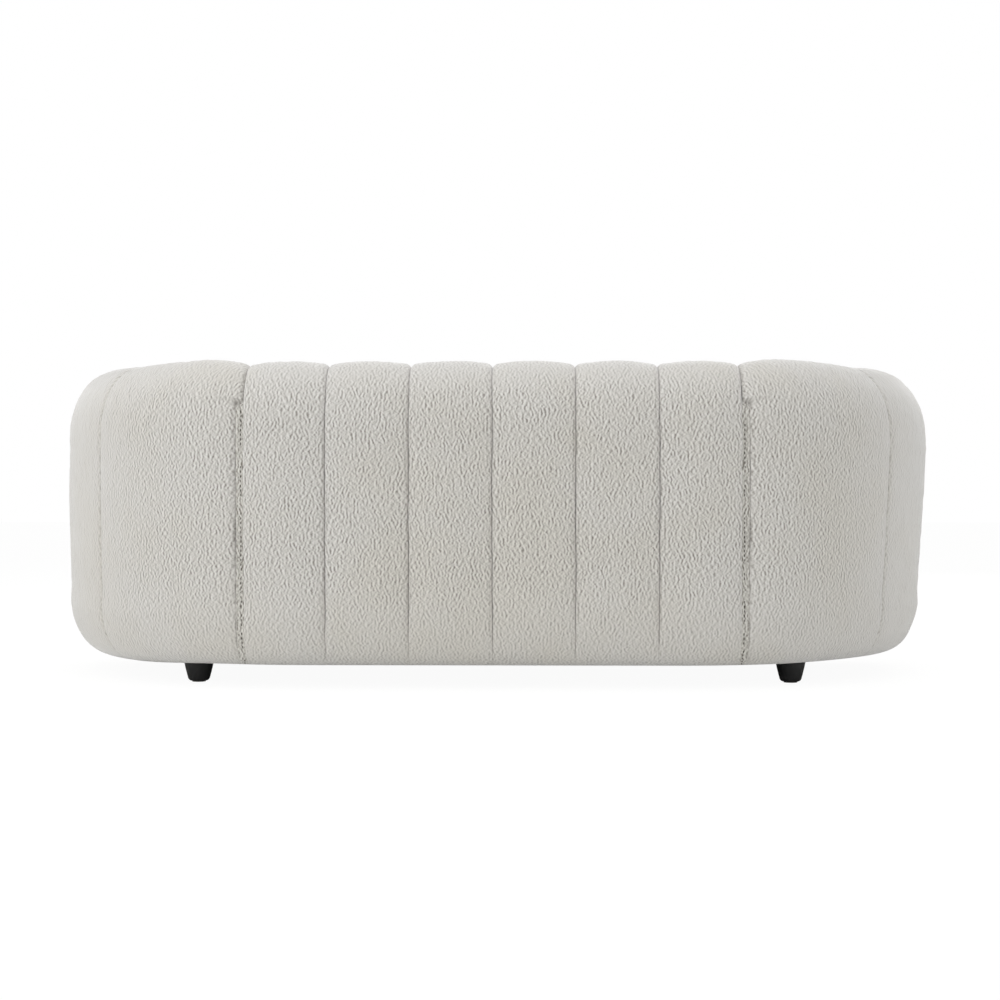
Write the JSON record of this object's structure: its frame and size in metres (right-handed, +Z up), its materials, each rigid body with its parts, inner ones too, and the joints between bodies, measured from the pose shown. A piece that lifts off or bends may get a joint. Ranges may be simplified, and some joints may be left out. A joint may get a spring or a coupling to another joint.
{
  "type": "tuxedo sofa",
  "caption": "Sofa whose padded, channelled wall runs at one height round the back and both rounded arms, with loose seat cushions and short tapered feet.",
  "frame": {"origin": "on the floor, under the middle of the sofa", "axes": "+X to the right as seen from the front, +Y towards the back, +Z up"},
  "size_m": [2.196, 0.898, 0.758],
  "materials": {
    "sherpa": "ivory sherpa with curled pile, dull",
    "flap_cloth": "plain woven strip, dull",
    "deck_cloth": "plain woven platform cloth, dull",
    "foam": "open-cell foam, dull",
    "zip": "nylon coil zip, satin",
    "beech": "planed, unfinished",
    "plywood": "sawn, unfinished",
    "board": "hardboard, unfinished",
    "webbing": "woven elastic, dull",
    "steel": "zinc plated, satin",
    "clip_metal": "black coated",
    "dust_cloth": "black non-woven, dull",
    "black_feet": "black, matte",
    "felt": "grey felt"
  },
  "bodies": {
    "sofa": {"back_channel_1": "sherpa", "back_channel_2": "sherpa", "back_channel_3": "sherpa", "back_channel_4": "sherpa", "back_channel_5": "sherpa", "back_channel_6": "sherpa", "corner_panel_left": "sherpa", "corner_panel_right": "sherpa", "side_panel_left": "sherpa", "side_panel_right": "sherpa", "arm_front_panel_left": "sherpa", "arm_front_panel_right": "sherpa", "arm_nose_left": "sherpa", "arm_nose_right": "sherpa", "closing_flap_left": "flap_cloth", "closing_flap_right": "flap_cloth", "front_border": "sherpa", "deck_pad": "deck_cloth", "back_top_rail": "beech", "back_bottom_rail": "beech", "back_posts": "beech", "back_end_boards": "beech", "back_liner": "board", "back_straps": "webbing", "arm_top_plates": "plywood", "arm_bottom_plates": "plywood", "arm_liners": "board", "arm_inner_boards": "board", "arm_posts": "beech", "arm_rear_boards": "beech", "arm_front_boards": "beech", "joint_bolts": "steel", "joint_nuts": "steel", "base_rear_plate": "plywood", "base_side_plates": "plywood", "base_front_rail": "beech", "base_side_rails": "beech", "base_cross_rails": "beech", "seat_front_rail": "beech", "seat_rear_rail": "plywood", "seat_side_rails": "beech", "seat_springs": "steel", "spring_clips": "clip_metal", "tie_wires": "steel", "dust_cover": "dust_cloth", "rear_feet": "black_feet", "front_feet": "black_feet", "foot_glides": "felt", "hanger_bolts": "steel", "t_nuts": "steel"},
    "cushion_left": {"cushion_cover_left": "sherpa", "cushion_core_left": "foam", "cushion_zip_left": "zip"},
    "cushion_center": {"cushion_cover_center": "sherpa", "cushion_core_center": "foam", "cushion_zip_center": "zip"},
    "cushion_right": {"cushion_cover_right": "sherpa", "cushion_core_right": "foam", "cushion_zip_right": "zip"}
  },
  "joints": [
    {"name": "cushion_left_lift", "type": "slide", "parent": "sofa", "child": "cushion_left", "axis": [0, 0, 1], "range_m": [0, 0.5]},
    {"name": "cushion_center_lift", "type": "slide", "parent": "sofa", "child": "cushion_center", "axis": [0, 0, 1], "range_m": [0, 0.5]},
    {"name": "cushion_right_lift", "type": "slide", "parent": "sofa", "child": "cushion_right", "axis": [0, 0, 1], "range_m": [0, 0.5]}
  ]
}
